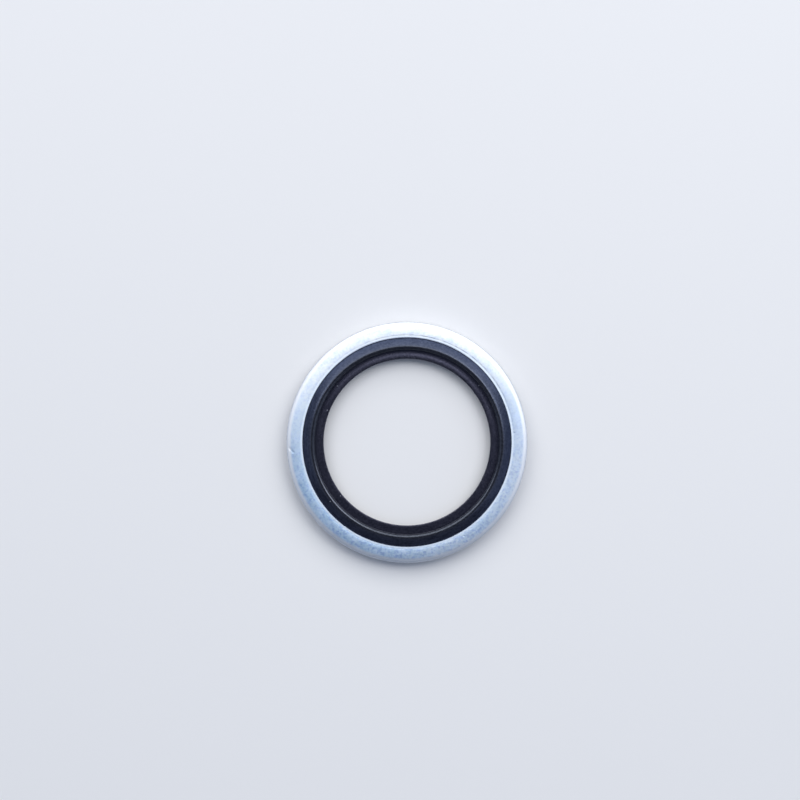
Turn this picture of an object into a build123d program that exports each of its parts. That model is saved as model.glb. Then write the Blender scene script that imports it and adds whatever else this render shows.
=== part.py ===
from build123d import *
import os
from math import cos, radians, sin

# Self-centring bonded sealing washer for a 3/4 inch parallel pipe thread. It is two pieces for
# life: a flat steel ring, blanked from strip and zinc plated, and a nitrile rubber seal that is
# moulded and vulcanised into the bore of the ring.
#
# The steel ring takes the clamping load. The seal has a lip on each face that stands a little
# proud of the steel, and is squeezed flush when the joint is tightened. A thin fin at mid height
# reaches further in and grips the thread, which centres the washer on it.
#
# Millimetres. The origin is the centre of the washer and +Z runs along its bore. The washer is
# the same above and below Z = 0, so each section is drawn for the upper half and mirrored. In a
# section, X is the distance from the bore's axis and Y is the height.
#
# The washer is sized from the thread outwards: the lips clear the thread's crests, the fin
# reaches inside them, and the steel ring goes round the rubber.

# ---- the thread, measured over its crests ----
thread_diameter = 26.44

# ---- rubber seal ----
# The two lips: from the bond with the steel a flank climbs inwards to a rounded crest, and the
# mouth drops from the crest to the fin. The lip's width is from the mouth to the bond.
mouth_clearance = 0.305
mouth_draft_angle = 4.0
lip_width = 1.625
lip_proud_height = 0.35
crest_radius = 0.3
# The mould leaves a narrow gutter between the flank and the steel.
gutter_width = 0.15
gutter_depth = 0.08
# The centring fin reaches inside the thread's crests by its grip.
fin_grip = 1.12
fin_thickness = 0.7
fin_root_radius = 0.25
fin_edge_radius = 0.2

# ---- steel ring ----
ring_width = 2.315
ring_thickness = 2.49
# Blanking rolls the edges over. Each rolled edge is a quarter of an ellipse.
rim_roll_width = 0.6
rim_roll_depth = 0.4
bore_roll_width = 0.35
bore_roll_depth = 0.15

# ---- worked out from the sizes above: distances from the axis ----
fin_bore_radius = thread_diameter / 2 - fin_grip
mouth_radius = thread_diameter / 2 + mouth_clearance
bond_radius = mouth_radius + lip_width
ring_radius = bond_radius + ring_width

# ---- worked out from the sizes above: heights from the middle ----
fin_face_height = fin_thickness / 2
ring_face_height = ring_thickness / 2
bore_wall_height = ring_face_height - bore_roll_depth
gutter_height = bore_wall_height - gutter_depth
crest_height = ring_face_height + lip_proud_height

os.makedirs("parts", exist_ok=True)


# ---- steel ring: a flat blank with its four edges rolled over ----
with BuildPart() as steel_ring:
    with BuildSketch(Plane.XZ):
        with BuildLine():
            rim_roll = EllipticalCenterArc(
                (ring_radius - rim_roll_width, ring_face_height - rim_roll_depth),
                rim_roll_width,
                rim_roll_depth,
                start_angle=0,
                arc_size=90,
            )
            bore_roll = EllipticalCenterArc(
                (bond_radius + bore_roll_width, bore_wall_height),
                bore_roll_width,
                bore_roll_depth,
                start_angle=90,
                arc_size=90,
            )
            Line(rim_roll @ 1, bore_roll @ 0)
            Line(bore_roll @ 1, (bond_radius, 0))
            Line((bond_radius, 0), (ring_radius, 0))
            Line((ring_radius, 0), rim_roll @ 0)
        make_face()
        mirror(about=Plane.XZ)
    revolve(axis=Axis.Z)

steel_ring.part.label = "steel_ring"
export_step(steel_ring.part, "parts/steel_ring.step")


# ---- rubber seal: two lips and the centring fin, in one moulding ----
# The crest is part of a circle that touches the sloping wall of the mouth. The flank runs from
# the gutter up to the same circle, which it touches too.
draft = radians(mouth_draft_angle)
crest_centre_height = crest_height - crest_radius
mouth_lean = (crest_centre_height - fin_face_height) * sin(draft)
crest_centre = Vector(
    mouth_radius + (crest_radius + mouth_lean) / cos(draft),
    crest_centre_height,
)
mouth_top = crest_centre + Vector(-cos(draft), sin(draft)) * crest_radius
crest_top = crest_centre + Vector(0, crest_radius)
gutter_inner = Vector(bond_radius - gutter_width, gutter_height)
fin_root = Vector(mouth_radius, fin_face_height)
fin_tip = Vector(fin_bore_radius, fin_face_height)

with BuildPart() as rubber_seal:
    with BuildSketch(Plane.XZ) as seal_section:
        with BuildLine():
            crest_circle = CenterArc(crest_centre, crest_radius, 0, 360, mode=Mode.PRIVATE)
            flank = ConstrainedLines(
                crest_circle,
                gutter_inner,
                selector=lambda lines: lines.sort_by(Axis.Y)[-1],
            )
            flank_top = flank.vertices().sort_by(Axis.Y)[-1]
            ThreePointArc(flank_top, crest_top, mouth_top)
            Polyline(
                mouth_top,
                fin_root,
                fin_tip,
                (fin_bore_radius, 0),
                (bond_radius, 0),
                (bond_radius, gutter_height),
                gutter_inner,
            )
        make_face()
        fillet(seal_section.vertices().sort_by_distance(fin_root)[0], fin_root_radius)
        fillet(seal_section.vertices().sort_by_distance(fin_tip)[0], fin_edge_radius)
        mirror(about=Plane.XZ)
    revolve(axis=Axis.Z)

rubber_seal.part.label = "rubber_seal"
export_step(rubber_seal.part, "parts/rubber_seal.step")
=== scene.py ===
# %% [markdown]
# # A bonded sealing washer
#
# This washer seals the joint under a pipe fitting. It is two pieces for life: a flat steel ring,
# which takes the clamping load, and a black rubber seal, which is moulded and cured in the bore of
# the ring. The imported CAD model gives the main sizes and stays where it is. Both pieces are then
# modelled again in its place, with the fine relief that presses, barrels and moulds leave behind.

# %% Load the CAD model
from math import cos, pi, radians, sin

import bmesh
import bpy
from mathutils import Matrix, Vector


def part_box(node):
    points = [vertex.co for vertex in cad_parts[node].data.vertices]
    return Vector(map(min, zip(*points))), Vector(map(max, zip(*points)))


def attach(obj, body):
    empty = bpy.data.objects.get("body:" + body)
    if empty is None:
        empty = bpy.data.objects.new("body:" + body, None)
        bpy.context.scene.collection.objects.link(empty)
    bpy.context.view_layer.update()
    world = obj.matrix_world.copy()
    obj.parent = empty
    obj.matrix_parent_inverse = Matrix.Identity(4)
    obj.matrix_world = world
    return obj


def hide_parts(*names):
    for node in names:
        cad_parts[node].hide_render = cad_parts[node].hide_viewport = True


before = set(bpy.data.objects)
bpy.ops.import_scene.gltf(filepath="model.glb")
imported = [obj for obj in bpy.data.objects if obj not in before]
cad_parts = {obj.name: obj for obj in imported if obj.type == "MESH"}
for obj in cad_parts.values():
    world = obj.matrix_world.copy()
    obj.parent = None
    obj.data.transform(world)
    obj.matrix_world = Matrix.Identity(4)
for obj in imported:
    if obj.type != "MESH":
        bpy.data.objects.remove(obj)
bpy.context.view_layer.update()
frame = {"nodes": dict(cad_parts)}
print("CAD nodes:", ", ".join(frame["nodes"]))

# %% [markdown]
# ## The sizes
#
# Blender works in metres, and a washer is easier to think about in millimetres. So every size of
# the washer is in millimetres, and is multiplied by `MM` where an operator takes it. Both pieces
# are round, so a place on their section is a radius and a height above the middle of the washer.

# %% Sizes of the washer
MM = 0.001
same_place = 0.001 * MM  # points nearer to each other than this are one point
ring_radius = 17.465
bond_radius = 15.15
crest_height = 1.595
fin_bore_radius = 12.1

for node in ("steel_ring", "rubber_seal"):
    low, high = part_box(node)
    print(f"{node}: radius {high[0] / MM:.3f} mm, height {high[2] / MM:.3f} mm")

# %% [markdown]
# ## Drawing a section
#
# A ring can be made from a torus or from a cylinder with a hole, but then each step and corner is
# a fight. A turner thinks of the section instead: draw half of it once and spin it round the axis.
# A plane is added, its four corners are merged to one point, and the point is extruded from corner
# to corner. Only the upper half is drawn, because the washer is the same on both faces.
#
# No edge on a pressed or moulded part is quite sharp, so most corners are then bevelled. A bevel
# makes an arc of a circle. Where the real rounding is wider than it is deep, the outline is
# stretched upwards, bevelled and let back, which makes it an arc of an ellipse.

# %% Draw and round an outline
def draw_outline(name, corners):
    """Draw an open outline through corners, each a radius and a height, and stay in edit mode."""
    bpy.ops.object.select_all(action="DESELECT")
    radius, height = corners[0]
    bpy.ops.mesh.primitive_plane_add(size=MM, location=(radius * MM, 0, height * MM))
    piece = bpy.context.object
    piece.name = name
    piece.data.name = name
    bpy.ops.object.transform_apply(location=True)
    bpy.ops.object.mode_set(mode="EDIT")
    bpy.ops.mesh.merge(type="CENTER")
    for here, there in zip(corners, corners[1:]):
        step = ((there[0] - here[0]) * MM, 0, (there[1] - here[1]) * MM)
        bpy.ops.mesh.extrude_vertices_move(TRANSFORM_OT_translate={"value": step})
    return piece


def pick(piece, wanted):
    """Select the vertices for which wanted(vertex) is true, and say how many."""
    bpy.ops.mesh.select_all(action="DESELECT")
    mesh = bmesh.from_edit_mesh(piece.data)
    for vertex in mesh.verts:
        vertex.select = wanted(vertex)
    mesh.select_flush_mode()
    bmesh.update_edit_mesh(piece.data)
    return sum(vertex.select for vertex in mesh.verts)


def round_corner(piece, corner, width, depth, segments):
    """Round a corner over a width and a depth, by stretching the outline for the bevel."""
    stretch = width / depth

    def at_corner(vertex):
        across = abs(vertex.co.x - corner[0] * MM)
        up = abs(vertex.co.z - corner[1] * MM * stretch)
        return across + up < same_place

    bpy.ops.mesh.select_all(action="SELECT")
    bpy.ops.transform.resize(value=(1, 1, stretch), center_override=(0, 0, 0))
    found = pick(piece, at_corner)
    bpy.ops.mesh.bevel(offset=width * MM, segments=segments, profile=0.5, affect="VERTICES")
    bpy.ops.mesh.select_all(action="SELECT")
    bpy.ops.transform.resize(value=(1, 1, 1 / stretch), center_override=(0, 0, 0))
    return found


def draw_section(name, section):
    """Draw a section. Its rows are radius, height, rounding width, its depth, and its segments."""
    piece = draw_outline(name, [row[:2] for row in section])
    for radius, height, width, depth, segments in section:
        if segments:
            round_corner(piece, (radius, height), width, depth, segments)
    return piece


# %% [markdown]
# ## From section to solid
#
# Long edges are divided first, so that there are points for the relief to move. The outline is
# then spun a full turn about Z, and a Mirror modifier adds the lower half. Spinning can leave a
# shape inside out, so its normals are recalculated once the seam's doubles are merged. A closed
# ring has no open edge. Its volume is printed, and lands within a tenth of the CAD solid's: under
# it for the steel, whose rim is rolled further, and over it for the rubber, whose lip is fuller.

# %% Spin an outline into a closed ring
def divide_long_edges(piece, longest):
    """Halve every edge longer than a length until none is left."""
    while True:
        bpy.ops.mesh.select_all(action="DESELECT")
        mesh = bmesh.from_edit_mesh(piece.data)
        long_edges = [edge for edge in mesh.edges if edge.calc_length() > longest * MM]
        if not long_edges:
            return len(mesh.verts)
        for edge in long_edges:
            edge.select = True
        mesh.select_flush_mode()
        bmesh.update_edit_mesh(piece.data)
        bpy.ops.mesh.subdivide(number_cuts=1)


def spin_and_mirror(piece, steps):
    """Spin the outline about Z, mirror it below, and close it with its faces outwards."""
    bpy.ops.mesh.select_all(action="SELECT")
    bpy.ops.mesh.spin(steps=steps, angle=2 * pi, center=(0, 0, 0), axis=(0, 0, 1))
    bpy.ops.object.mode_set(mode="OBJECT")
    mirror = piece.modifiers.new("lower half", "MIRROR")
    mirror.use_axis = (False, False, True)
    mirror.merge_threshold = same_place
    bpy.ops.object.modifier_apply(modifier=mirror.name)
    bpy.ops.object.mode_set(mode="EDIT")
    bpy.ops.mesh.select_all(action="SELECT")
    bpy.ops.mesh.remove_doubles(threshold=same_place)
    bpy.ops.mesh.normals_make_consistent(inside=False)
    mesh = bmesh.from_edit_mesh(piece.data)
    open_edges = sum(not edge.is_manifold for edge in mesh.edges)
    volume = mesh.calc_volume(signed=True) / MM**3
    bpy.ops.object.mode_set(mode="OBJECT")
    print(f"{piece.name}: {len(piece.data.polygons)} faces, {open_edges} open edges, "
          f"{volume:.0f} mm3")


# %% [markdown]
# ## The steel ring
#
# The ring is blanked from strip in a press. Its faces look flat, but they aren't: next to the bore
# is a narrow flat land, where the mould for the rubber is clamped on the steel, and a step as high
# as a sheet of foil is left at its edge. From there the face is nearly level for half a
# millimetre, falls away outwards by a tenth of a millimetre, and then rolls over into the rim. It
# is this crown, more than the colour, that makes one side of the ring shine and the other dull.

# %% Draw the ring's section
steel_section = [  # radius, height, rounding width, rounding depth, segments
    (bond_radius, 0, 0, 0, 0),
    (bond_radius, 1.225, 0.02, 0.02, 2),  # edge of the bore
    (15.26, 1.219, 0.04, 0.04, 3),
    (15.48, 1.216, 0.03, 0.03, 3),  # foot of the step round the land
    (15.60, 1.230, 0.04, 0.04, 4),  # top of the step
    (16.08, 1.233, 0.32, 0.32, 8),  # from here the face falls away outwards
    (16.86, 1.137, 0.14, 0.14, 6),  # from here it rolls over, in two facets
    (17.28, 0.995, 0.12, 0.12, 6),
    (ring_radius, 0.86, 0.1, 0.1, 6),  # top of the outer wall
    (ring_radius, 0, 0, 0, 0),
]
steel = draw_section("zinc_plated_ring", steel_section)
longest_steel_edge = 0.13
print("points on the steel section:", divide_long_edges(steel, longest_steel_edge))

# %% Spin the ring
steel_steps = 540  # each is a fifth of a millimetre long at the rim
spin_and_mirror(steel, steel_steps)

# %% [markdown]
# ## Waviness and nicks
#
# Plated strip is never optically flat. A Displace modifier with a soft cloud texture moves the
# surface by a few thousandths of a millimetre, always inwards so that the ring stays in its size.
# The light then wanders over it as it does over real sheet. Rings knock together in the barrel,
# so this one has a nick on its rim and two pinpricks on its face. For each, the mesh is divided
# more finely along a short line, and the points on the line are pressed in. Proportional editing
# takes their neighbours along, which leaves a groove with a V section.

# %% Helpers for relief
def ripple(piece, feature_size, depth):
    """Move a piece's surface inwards by up to a depth, in soft patches of a size."""
    clouds = bpy.data.textures.new(piece.name + "_ripple", "CLOUDS")
    clouds.noise_scale = feature_size * MM
    clouds.noise_depth = 2
    displace = piece.modifiers.new("ripple", "DISPLACE")
    displace.texture = clouds
    displace.texture_coords = "LOCAL"
    displace.strength = depth * MM
    displace.mid_level = 1.0
    bpy.ops.object.modifier_apply(modifier=displace.name)
    bpy.data.textures.remove(clouds)


def off_line(vertex, start, end):
    """Measure how far a vertex is from the line between two places, all in metres."""
    start, end = Vector(start) * MM, Vector(end) * MM
    along = (vertex.co - start).dot(end - start) / (end - start).length_squared
    return (vertex.co - start - (end - start) * min(max(along, 0), 1)).length


def press_in(piece, start, end, depth, reach):
    """Press a V-shaped groove down into a face, from start to end, in millimetres."""
    near_the_line = 2.5 * reach  # the mesh is divided as far out as this
    on_the_line = 0.035  # points this near to the line are pressed to the full depth
    bpy.ops.object.mode_set(mode="EDIT")
    pick(piece, lambda v: off_line(v, start, end) < near_the_line * MM)
    bpy.ops.mesh.subdivide(number_cuts=3)
    found = pick(piece, lambda v: off_line(v, start, end) < on_the_line * MM)
    bpy.ops.transform.translate(
        value=(0, 0, -depth * MM),
        use_proportional_edit=True,
        proportional_edit_falloff="LINEAR",
        proportional_size=reach * MM,
    )
    bpy.ops.object.mode_set(mode="OBJECT")
    return found


# %% Ripple the steel and press the nicks in
ripple(steel, feature_size=2.2, depth=0.012)
nicks = (  # start, end, depth and reach
    ((-17.02, -0.84, 1.08), (-16.46, -1.48, 1.18), 0.03, 0.22),
    ((15.55, 1.29, 1.22), (15.60, 1.34, 1.22), 0.04, 0.10),
    ((8.20, -13.52, 1.21), (8.35, -13.60, 1.21), 0.03, 0.10),
)
for start, end, depth, reach in nicks:
    print("nick, vertices moved:", press_in(steel, start, end, depth, reach))
sharp_steel_edge = 40  # degrees, beyond which an edge stays sharp
bpy.ops.object.shade_smooth_by_angle(angle=radians(sharp_steel_edge))
print("steel box:", [round(d / MM, 3) for d in steel.dimensions])

# %% [markdown]
# ## The rubber seal
#
# The seal has a lip on each face that stands a third of a millimetre proud of the steel, and is
# squashed flush when the joint is tightened. Its flank slopes down to the steel and ends in a
# narrow gutter, with a skin of rubber left up the wall of the bore. On the inner side the crest is
# rounded broadly into the mouth, which drops steeply to a thin fin at mid height. The fin grips
# the thread and centres the washer. It is a little thicker towards its edge than at its root, the
# edge is nearly sharp, and a hair of flash runs round it where the mould's halves meet.
#
# Shading blends the directions of neighbouring faces, so a tiny rounding beside a long face bends
# the light on the whole of it. An extra point just short of the fin's root keeps its face flat.

# %% Draw the seal's section
seal_section = [  # radius, height, rounding width, rounding depth, segments
    (fin_bore_radius, 0, 0, 0, 0),  # flash on the fin's edge
    (12.13, 0.035, 0.02, 0.02, 2),
    (12.13, 0.338, 0.04, 0.04, 3),  # edge of the fin
    (12.34, 0.35, 0.09, 0.09, 4),  # thickest part of the fin
    (12.58, 0.345, 0.12, 0.12, 4),
    (12.95, 0.313, 0.15, 0.15, 4),
    (13.37, 0.313, 0, 0, 0),  # keeps the fin's face flat
    (13.41, 0.313, 0.03, 0.03, 3),  # root of the fin
    (13.43, 1.59, 0.38, 0.17, 12),  # mouth and crest, in one broad rounding
    (13.95, crest_height, 0.1, 0.1, 5),
    (14.15, 1.53, 0.1, 0.1, 6),  # shoulder, where the flank begins
    (14.95, 1.138, 0.04, 0.04, 3),
    (15.02, 1.10, 0.03, 0.03, 3),  # gutter
    (15.09, 1.09, 0.02, 0.02, 2),
    (15.11, 1.185, 0.015, 0.015, 2),  # skin of rubber on the steel
    (bond_radius, 1.2, 0, 0, 0),
    (bond_radius, 0, 0, 0, 0),
]
seal = draw_section("nitrile_seal", seal_section)
longest_seal_edge = 0.16
print("points on the seal's section:", divide_long_edges(seal, longest_seal_edge))

# %% Spin the seal
seal_steps = 480  # fewer, because its section has more points
spin_and_mirror(seal, seal_steps)
ripple(seal, feature_size=3.0, depth=0.01)
sharp_seal_edge = 50  # degrees, beyond which an edge stays sharp
bpy.ops.object.shade_smooth_by_angle(angle=radians(sharp_seal_edge))
print("seal box:", [round(d / MM, 3) for d in seal.dimensions])

# %% [markdown]
# ## Colours and nodes
#
# Colours are written as they are seen on a screen, as sRGB hex, and one function turns them into
# the linear values that light needs. Another adds a shader node with its settings and links, and
# gives the node's output, so that each layer of a material reads as one line.
#
# Most layers follow a fade, made by a Map Range node. Its inputs are the value that it follows,
# where the fade starts and ends, and what it gives at the start and the end. The last two are 0
# and 1 where they aren't given.

# %% Helpers for colours and nodes
SMOOTH = {"interpolation_type": "SMOOTHSTEP"}  # a fade with soft ends
TIMES = {"operation": "MULTIPLY"}
LARGER = {"operation": "MAXIMUM"}
BLEND = {"data_type": "RGBA"}  # from one colour to another
GLAZE = {"data_type": "RGBA", "blend_type": "MULTIPLY"}  # one colour seen through another


def colour(code):
    """Turn an sRGB hex colour into a linear RGBA value."""
    parts = [int(code[i:i + 2], 16) / 255 for i in (1, 3, 5)]
    return [p / 12.92 if p <= 0.04045 else ((p + 0.055) / 1.055) ** 2.4 for p in parts] + [1]


def add(tree, kind, inputs=(), **settings):
    """Add a node with its settings, fill its inputs, and give the first output in use.

    Inputs are listed in their order or given by name. Each is a value or another node's output.
    """
    node = tree.nodes.new("ShaderNode" + kind)
    for name, value in settings.items():
        setattr(node, name, value)
    if isinstance(inputs, dict):
        pairs = [(node.inputs[name], value) for name, value in inputs.items()]
    else:
        pairs = zip([socket for socket in node.inputs if socket.enabled], inputs)
    for socket, value in pairs:
        if isinstance(value, bpy.types.NodeSocket):
            tree.links.new(value, socket)
        else:
            socket.default_value = value
    return next(socket for socket in node.outputs if socket.enabled)


# %% Helpers for materials
def new_material(name, piece):
    """Give a piece an empty material, and return its tree and the socket for its surface."""
    material = bpy.data.materials.new(name)
    material.use_nodes = True
    tree = material.node_tree
    tree.nodes.clear()
    piece.data.materials.append(material)
    return tree, tree.nodes.new("ShaderNodeOutputMaterial").inputs["Surface"]


def find_place(tree):
    """Give a point's place in millimetres, its X, Y and Z, and its distance from the axis."""
    own = add(tree, "TexCoord").node.outputs["Object"]
    place = add(tree, "VectorMath", [own, 1 / MM], operation="SCALE")
    flat = add(tree, "VectorMath", [place, (1, 1, 0)], **TIMES)
    radius = add(tree, "VectorMath", [flat], operation="LENGTH")
    x, y, z = add(tree, "SeparateXYZ", [place]).node.outputs
    return place, x, y, z, radius


# %% [markdown]
# ## Zinc plating: the film
#
# The ring is mild steel, zinc plated in a barrel and passivated blue. Tumbling leaves the zinc
# satin, with a fine random grain, so it shines broadly and softly. The passivate is a film thinner
# than a wavelength of light, which tints the metal a cold blue. It drifts to grey on one side, in
# drifts of 6 mm. Towards the back the colour is painted paler, which is painted light from the
# window there. The film also has cloudy blotches about a millimetre across. A metal's colour is
# what it reflects, so all of this goes into the base colour. A noise's scale is how many patches
# there are to the millimetre, so it is worked out as one over their size.

# %% Tint the film
tree, surface = new_material("blue_passivated_zinc_plate", steel)
place, x, y, z, radius = find_place(tree)
drift_size, blotch_size = 6.25, 1.11

drift = add(tree, "TexNoise", {"Vector": place, "Scale": 1 / drift_size, "Detail": 2.0})
wander = add(tree, "MapRange", [drift, 0.35, 0.65, -0.18, 0.18], **SMOOTH)
to_right = add(tree, "Math", [x, 0.022, 0.5], operation="MULTIPLY_ADD")
drifted = add(tree, "Math", [to_right, wander], operation="ADD")
greyness = add(tree, "MapRange", [drifted, 0.1, 0.9])
film = add(tree, "Mix", [greyness, colour("#B3C9DE"), colour("#CCD5E1")], **BLEND)

# Painted light: the film is paler towards the back, where the window shines on it.
to_back_left = add(tree, "Math", [x, -0.2, y], operation="MULTIPLY_ADD")
painted_light_at_back = add(tree, "MapRange", [to_back_left, 0, 14], **SMOOTH)
film = add(tree, "Mix", [painted_light_at_back, film, colour("#EDF1F4")], **BLEND)

blotch = add(tree, "TexNoise", {"Vector": place, "Scale": 1 / blotch_size, "Detail": 4.0,
                                "Roughness": 0.6, "Distortion": 0.4})
cloudiness = add(tree, "MapRange", [blotch, 0.35, 0.75, 0.0, 0.6], **SMOOTH)
film = add(tree, "Mix", [cloudiness, film, colour("#CCDAF0")], **BLEND)
print("drifts and blotches of the film:", drift_size, "and", blotch_size, "mm")

# %% [markdown]
# ## Zinc plating: the fleck, the wear and painted light
#
# Zinc grows as crystals, and each takes a slightly different tint, which leaves a fine fleck. Real
# crystals are some hundredths of a millimetre across, too fine to show, so the fleck is drawn at a
# third of a millimetre, which is what the eye gathers them into. It is painted weaker towards the
# back, which is painted light: there the window's glare washes it out. The land by the bore was
# pressed smooth, so it has lost most of its film and is paler. The rim was rubbed in the barrel,
# and is paler from that wear and from a painted highlight. At the front it is kept duller, which
# is painted shade.

# %% Fleck the film, wear it, and paint light and shade on it
fleck_size = 1 / 3
fleck = add(tree, "TexNoise", {"Vector": place, "Scale": 1 / fleck_size, "Detail": 2.0,
                               "Roughness": 0.6})
blue_half = add(tree, "MapRange", [fleck, 0.36, 0.5])
pale_half = add(tree, "MapRange", [fleck, 0.5, 0.64])
tint = add(tree, "Mix", [blue_half, colour("#D3DCF1"), colour("#F1F9FB")], **BLEND)
tint = add(tree, "Mix", [pale_half, tint, colour("#FFFFFF")], **BLEND)
# Painted light: the fleck is weaker towards the back, as if washed out by glare.
fleck_weaker_in_painted_glare = add(tree, "MapRange", [y, -12, 6, 1.0, 0.36], **SMOOTH)
film = add(tree, "Mix", [fleck_weaker_in_painted_glare, film, tint], **GLAZE)

land = add(tree, "MapRange", [radius, 15.3, 15.52, 0.85, 0.0], **SMOOTH)
film = add(tree, "Mix", [land, film, colour("#E8F2FB")], **BLEND)

# Painted highlight and shade: the rim is paler, partly as barrel wear, and less pale at the front.
rim = add(tree, "MapRange", [radius, 16.65, 17.1], **SMOOTH)
painted_shade_at_front = add(tree, "MapRange", [y, -15, -4, 0.8, 1.0], **SMOOTH)
worn_rim_with_painted_highlight = add(tree, "Math", [rim, painted_shade_at_front], **TIMES)
film = add(tree, "Mix", [worn_rim_with_painted_highlight, film, colour("#EDF0F4")], **BLEND)
print(f"fleck: {fleck_size:.2f} mm")

# %% [markdown]
# ## Zinc plating: painted shade beside the bond
#
# Beside the bond the steel is painted grey, mostly at the back, which is painted shade. A thin
# grey line of painted shade also runs along the step at the back right, broken every millimetre
# or so.

# %% Paint grey shade beside the bond
break_size = 0.91
breaks = add(tree, "TexNoise", {"Vector": place, "Scale": 1 / break_size, "Detail": 3.0})
# Painted shade: a thin grey line along the step at the back right, broken by noise.
line = add(tree, "MapRange", [radius, 15.5, 15.55], **SMOOTH)
for narrower in (
    add(tree, "MapRange", [radius, 15.57, 15.64, 1.0, 0.0], **SMOOTH),
    add(tree, "MapRange", [x, -8, 2], **SMOOTH),
    add(tree, "MapRange", [y, 2, 8], **SMOOTH),
    add(tree, "MapRange", [breaks, 0.40, 0.62, 0.0, 0.8], **SMOOTH),
):
    line = add(tree, "Math", [line, narrower], **TIMES)

# Painted shade: grey beside the bond, mostly at the back.
by_bond = add(tree, "MapRange", [radius, 15.2, 15.36, 1.0, 0.0], **SMOOTH)
at_back = add(tree, "MapRange", [y, 10, 15, 0.15, 0.9], **SMOOTH)
painted_shade_by_bond = add(tree, "Math", [by_bond, at_back], **TIMES)
grey = add(tree, "Math", [line, painted_shade_by_bond], **LARGER)
film = add(tree, "Mix", [grey, film, colour("#8F98AC")], **BLEND)
print("breaks in the grey line:", break_size, "mm")

# %% [markdown]
# ## Zinc plating: the grain and the blanked wall
#
# The faces have the barrel's fine grain, drawn at 0.3 mm because the real one is too fine to show.
# A blanked wall is in two bands. The punch burnishes the upper one and leaves upright streaks.
# Below, the strip tears, and leaves coarser pits and a greyer colour, and the line between them
# wanders. The streaks are noise that is stretched eight times along Z. Streaks and pits are drawn
# two or three times as coarse as real ones.

# %% Raise the grain and the wall's two bands
grain_size, streak_size, pit_size = 0.294, 0.25, 0.417
grain = add(tree, "TexNoise", {"Vector": place, "Scale": 1 / grain_size, "Detail": 2.0,
                               "Roughness": 0.6})
upright = add(tree, "VectorMath", [place, (1, 1, 0.12)], **TIMES)
streaks = add(tree, "TexNoise", {"Vector": upright, "Scale": 1 / streak_size, "Detail": 2.0})
pits = add(tree, "TexNoise", {"Vector": place, "Scale": 1 / pit_size, "Detail": 3.0})

on_wall = add(tree, "MapRange", [radius, 17.3, 17.42], **SMOOTH)
wander = add(tree, "MapRange", [blotch, 0.3, 0.7, -0.16, 0.16], **SMOOTH)
tear_height = add(tree, "Math", [z, wander], operation="ADD")
torn = add(tree, "MapRange", [tear_height, -0.12, 0.0, 1.0, 0.0], **SMOOTH)
wall_relief = add(tree, "Mix", [torn, streaks, pits])
relief = add(tree, "Mix", [on_wall, grain, wall_relief])

streak_shade = add(tree, "MapRange", [streaks, 0.35, 0.7, 0.1, 0.5], **SMOOTH)
pit_shade = add(tree, "MapRange", [pits, 0.35, 0.65, 0.4, 0.9], **SMOOTH)
wall_shade = add(tree, "Mix", [torn, streak_shade, pit_shade])
wall_shade = add(tree, "Math", [on_wall, wall_shade], **TIMES)
film = add(tree, "Mix", [wall_shade, film, colour("#B4BCCB")], **BLEND)
print("grain, streaks and pits:", grain_size, streak_size, pit_size, "mm")

# %% [markdown]
# ## Zinc plating: the metal
#
# Satin plating is a little over half rough. The flecks are the crystals, so the roughness follows
# them. On the land they were pressed flat, so the roughness is more even there, and stays near the
# top of its range. The grain is a few thousandths of a millimetre high.

# %% Finish the plating
satin = add(tree, "MapRange", [fleck, 0.3, 0.7, 0.53, 0.59], **SMOOTH)
least_on_land = add(tree, "MapRange", [radius, 15.38, 15.52, 0.57, 0.4], **SMOOTH)
metal = add(tree, "BsdfPrincipled", {
    "Base Color": film,
    "Metallic": 1.0,
    "Roughness": add(tree, "Math", [satin, least_on_land], **LARGER),
    "Normal": add(tree, "Bump", {"Height": relief, "Strength": 1.0, "Distance": 0.016 * MM}),
})
tree.links.new(metal, surface)
print("nodes in the plating:", len(tree.nodes))

# %% [markdown]
# ## Nitrile rubber: the black
#
# The seal is nitrile rubber filled with carbon black, and takes its surface from a turned and
# polished steel mould. It is almost as black as rubber can be. Its skin is a little uneven, in
# patches of a third of a millimetre, and the flank shows the mould's turning marks: rings about a
# sixth of a millimetre apart, made by noise that changes fast with the radius and slowly round the
# ring. Both are coarser than real ones, which are too fine to show.

# %% Mix the black
tree, surface = new_material("moulded_nitrile_rubber", seal)
place, x, y, _, radius = find_place(tree)
skin_size, mark_spacing, mark_length = 0.3125, 1 / 6, 2.22
skin = add(tree, "TexNoise", {"Vector": place, "Scale": 1 / skin_size, "Detail": 2.0,
                              "Roughness": 0.6})
paleness = add(tree, "MapRange", [skin, 0.35, 0.65], **SMOOTH)
black = add(tree, "Mix", [paleness, colour("#0B0B0E"), colour("#1B1B20")], **BLEND)

turned = add(tree, "CombineXYZ", [
    add(tree, "Math", [radius, 1 / mark_spacing], **TIMES),
    add(tree, "Math", [x, 1 / mark_length], **TIMES),
    add(tree, "Math", [y, 1 / mark_length], **TIMES),
])
rings = add(tree, "TexNoise", {"Vector": turned, "Scale": 1.0, "Detail": 2.0})
rings = add(tree, "MapRange", [rings, 0.42, 0.66], **SMOOTH)
on_flank = add(tree, "MapRange", [radius, 13.7, 14.0], **SMOOTH)
marks = add(tree, "Math", [on_flank, rings], **TIMES)
black = add(tree, "Mix", [marks, black, colour("#20222A")], **BLEND)
print(f"skin: patches of {skin_size} mm, turning marks {mark_spacing:.2f} mm apart")

# %% [markdown]
# ## Nitrile rubber: the dust
#
# Rubber draws dust. A few pale specks, each about a tenth of a millimetre in radius, sit on the fin
# and the crest. Each is a small ball of colour that fades outwards from a place on the surface, so
# that it doesn't run down a wall.

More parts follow.
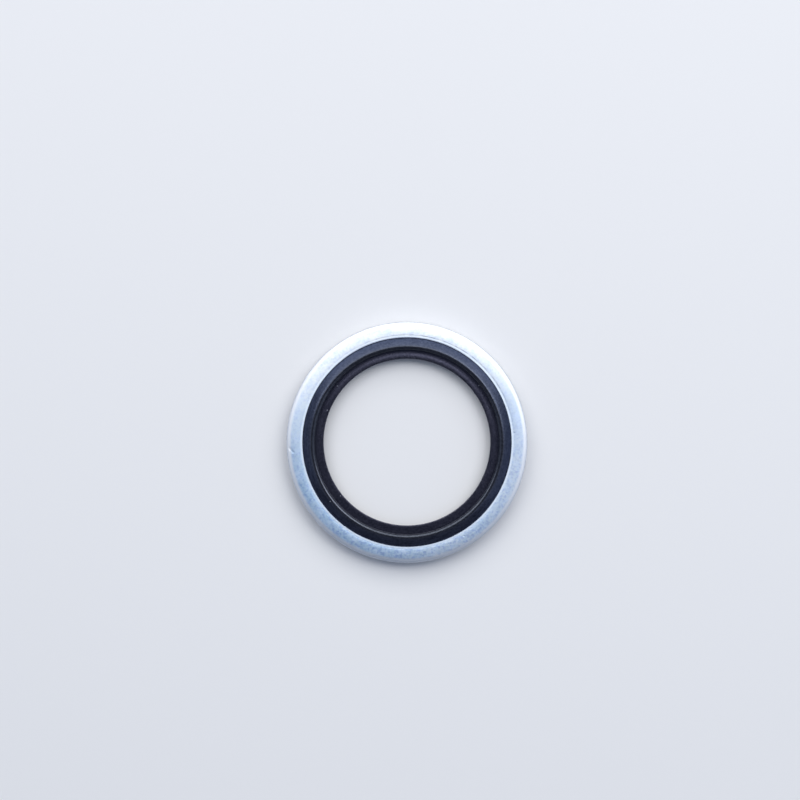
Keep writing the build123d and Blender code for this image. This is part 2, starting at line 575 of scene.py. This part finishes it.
# %% Put specks of dust on it
specks = (  # place, and how far the speck reaches from it
    ((-11.56, 4.64, 0.35), 0.13),
    ((-10.10, 8.15, 0.31), 0.12),
    ((10.42, 8.22, 0.31), 0.12),
    ((-9.65, -7.79, 0.35), 0.10),
    ((-11.09, -8.54, 1.57), 0.10),
)
dust = 0.0
for centre, reach in specks:
    away = add(tree, "VectorMath", [place, centre], operation="DISTANCE")
    speck = add(tree, "MapRange", [away, 0.3 * reach, reach, 0.8, 0.0], **SMOOTH)
    dust = add(tree, "Math", [dust, speck], **LARGER)
black = add(tree, "Mix", [dust, black, colour("#8C8F96")], **BLEND)
print("specks of dust:", len(specks))

# %% [markdown]
# ## Nitrile rubber: the sheen
#
# On so black a thing nearly all that is seen is the light that it reflects: a soft sheen on the
# flank and a thin bright line on the crest. Wax and oil from the rubber come to its surface as a
# bloom, and turn the sheen cold blue, most of all towards the steel. On the crest they are rubbed
# off, so it is nearly neutral there. Towards the steel the sheen is also darker, which is painted
# shade beside the gutter. The fin's violet cast is a painted reflection, and the skin's patches
# dull it all a little.

# %% Tint the sheen
across_lip = add(tree, "MapRange", [radius, 13.6, 15.1], **SMOOTH)
inner_half = add(tree, "MapRange", [across_lip, 0.05, 0.3])
# Bluer towards the steel from the bloom, and darker there, which is painted shade.
bluer_and_painted_shade_to_steel = add(tree, "MapRange", [across_lip, 0.3, 0.95])
sheen = add(tree, "Mix", [inner_half, colour("#D7E0F4"), colour("#C2D2FD")], **BLEND)
sheen = add(tree, "Mix", [bluer_and_painted_shade_to_steel, sheen, colour("#ABBFF2")], **BLEND)
# Painted reflection: a violet cast on the fin's sheen.
painted_reflection_on_fin = add(tree, "MapRange", [radius, 13.3, 13.45, 1.0, 0.0], **SMOOTH)
sheen = add(tree, "Mix", [painted_reflection_on_fin, sheen, colour("#CDCEF5")], **BLEND)
patch = add(tree, "MapRange", [skin, 0.3, 0.7], **SMOOTH)
dulling = add(tree, "Mix", [patch, colour("#D4D8DE"), colour("#FFFFFF")], **BLEND)
sheen = add(tree, "Mix", [1.0, sheen, dulling], **GLAZE)
print("nodes in the rubber so far:", len(tree.nodes))

# %% [markdown]
# ## Nitrile rubber: the polish
#
# The bloom takes the polish off in patches of about two millimetres. The root of the fin and the
# rounding above it are smoother than the rest, so the line of light on the rounding is sharp. The
# tint varies over the surface, so it is linked. An export may not follow that link, and then falls
# back on the middle colour, which is set on the socket itself.

# %% Finish the rubber
bloom_size = 2.0
bloom = add(tree, "TexNoise", {"Vector": place, "Scale": 1 / bloom_size, "Detail": 5.0,
                               "Roughness": 0.65})
haze = add(tree, "MapRange", [bloom, 0.3, 0.7, 0.22, 0.28], **SMOOTH)
to_root = add(tree, "MapRange", [radius, 12.95, 13.4, 1.0, 0.6], **SMOOTH)
past_crest = add(tree, "MapRange", [radius, 13.75, 14.0, 0.6, 1.0], **SMOOTH)
dullness = add(tree, "Math", [to_root, past_crest], **LARGER)

body = add(tree, "BsdfPrincipled", {
    "Base Color": black,
    "Roughness": add(tree, "Math", [haze, dullness], **TIMES),
    "IOR": 1.53,
    "Specular IOR Level": 1.0,
    "Specular Tint": colour("#C8D2F2"),
    "Normal": add(tree, "Bump", {"Height": skin, "Strength": 1.0, "Distance": 0.006 * MM}),
})
tree.links.new(sheen, body.node.inputs["Specular Tint"])
tree.links.new(body, surface)
print("nodes in the rubber:", len(tree.nodes))

# %% [markdown]
# ## Handing the pieces over
#
# Each piece rides on the washer's one body and stands for the CAD node that it replaces, which
# is hidden.

# %% Fit the pieces to the frame
for piece, node, slot in (
    (steel, "steel_ring", "zinc_plated_steel"),
    (seal, "rubber_seal", "nitrile_rubber"),
):
    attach(piece, "root")
    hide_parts(node)
    print(piece.name, "stands for", node)

# %% [markdown]
# ## The table
#
# The washer rests on its lower lip on a plain pale table top, large enough to fill the view. The
# board is matt and a little greyer than paper, so that the ring's bright side stands out from it.

# %% Lay the table
table_width = 6.0  # metres
bpy.ops.object.select_all(action="DESELECT")
bpy.ops.mesh.primitive_plane_add(size=table_width, location=(0, 0, -crest_height * MM))
table = bpy.context.object
table.name = "table_top"
bpy.ops.object.transform_apply(location=True)
tree, surface = new_material("matt_white_board", table)
board = add(tree, "BsdfPrincipled", {"Base Color": colour("#E6E6E6"), "Roughness": 0.9,
                                     "Specular IOR Level": 0.1})
tree.links.new(board, surface)
print("table top at", round(table.data.vertices[0].co.z / MM, 3), "mm")

# %% [markdown]
# ## The light
#
# A big soft window stands behind the washer and reaches almost overhead, and nothing stands in
# front, so the metal runs from bright at the back to dull at the front, and the crest of the
# rubber catches a thin line. Two broad dim lamps at the sides lift the flanks, and a small desk
# lamp behind on the right adds a touch of sparkle. The light of the room itself is bluish, like a
# clear sky, and it colours the shadows.

# %% Set the lamps
lamp_distance = 0.6  # metres


def soft_lamp(name, bearing, from_zenith, width, height, power, tint):
    """Add an area lamp that faces the washer from a bearing and an angle from straight above."""
    tilt, turn = radians(from_zenith), radians(bearing)
    lamp = bpy.data.lights.new(name, "AREA")
    lamp.shape = "RECTANGLE"
    lamp.size = width
    lamp.size_y = height
    lamp.energy = power
    lamp.color = colour(tint)[:3]
    stand = bpy.data.objects.new(name, lamp)
    facing = Vector((sin(tilt) * cos(turn), sin(tilt) * sin(turn), cos(tilt)))
    stand.location = lamp_distance * facing
    stand.rotation_euler = (tilt, 0, turn + pi / 2)
    bpy.context.collection.objects.link(stand)
    print(f"{name}: {power} W, {width} m by {height} m")


for lamp in (  # name, bearing, angle from the zenith, width, height, watts and tint
    ("window", 85, 37, 1.2, 0.62, 5.2, "#FFFFFF"),
    ("left_fill", 174, 52, 0.5, 0.8, 0.45, "#DCE9FF"),
    ("right_fill", -8, 52, 0.5, 0.8, 0.64, "#DCE9FF"),
    ("desk_lamp", 42, 28, 0.17, 0.17, 0.26, "#FFFFFF"),
):
    soft_lamp(*lamp)

# %% Fill the room with a little light
room = bpy.data.worlds.new("room")
room.use_nodes = True
sky = room.node_tree.nodes["Background"]
sky.inputs["Color"].default_value = colour("#CFDEFF")
sky.inputs["Strength"].default_value = 0.225
bpy.context.scene.world = room
bpy.context.scene.view_settings.view_transform = "Standard"
print(f"light of the room: {sky.inputs['Strength'].default_value:.3f}")

# %% [markdown]
# ## The camera
#
# The camera looks straight down from thirty centimetres with a short telephoto lens, so the
# washer is seen square on, a little below and to the right of the middle of the picture.

# %% Set the camera
camera_left, camera_back, camera_height = 1.01, 6.12, 300
bpy.ops.object.select_all(action="DESELECT")
lens = bpy.data.cameras.new("straight_down")
lens.lens = 92.9
lens.sensor_width = 36
lens.clip_start = 0.01
lens.clip_end = 20
camera = bpy.data.objects.new("straight_down", lens)
camera.location = Vector((-camera_left, camera_back, camera_height)) * MM
bpy.context.collection.objects.link(camera)
bpy.context.scene.camera = camera
print("camera at", [round(d / MM, 2) for d in camera.location], "mm")
